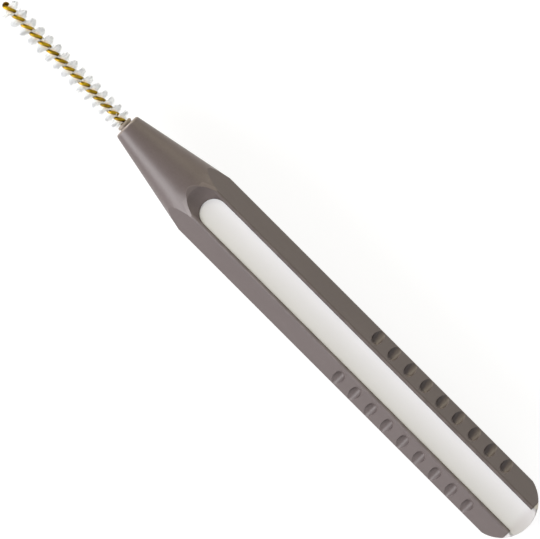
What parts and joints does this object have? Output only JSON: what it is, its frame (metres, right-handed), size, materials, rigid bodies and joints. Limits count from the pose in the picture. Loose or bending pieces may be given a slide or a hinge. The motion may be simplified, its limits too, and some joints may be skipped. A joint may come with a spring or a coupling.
{
  "type": "interdental brush",
  "caption": "Small interdental brush: twisted wire with a spiral fan of nylon bristles in a six-sided two-colour plastic handle with finger dimples.",
  "frame": {"origin": "below the middle of the whole length, on the plane of the handle's lower face", "axes": "+X from the handle to the brush tip, +Z out of the upper face with the white strip, +Y to the left of +X"},
  "size_m": [0.0654, 0.0064, 0.0056],
  "materials": {
    "taupe_plastic": "fine satin moulded plastic, grey brown",
    "white_plastic": "satin moulded plastic, slightly warm white",
    "gold_wire": "bright gold-coloured coating on twisted wire",
    "nylon_filament": "translucent white nylon filament"
  },
  "bodies": {
    "root": {"handle_body": "taupe_plastic", "inlay": "white_plastic", "twisted_wire": "gold_wire", "bristles": "nylon_filament"}
  },
  "joints": []
}
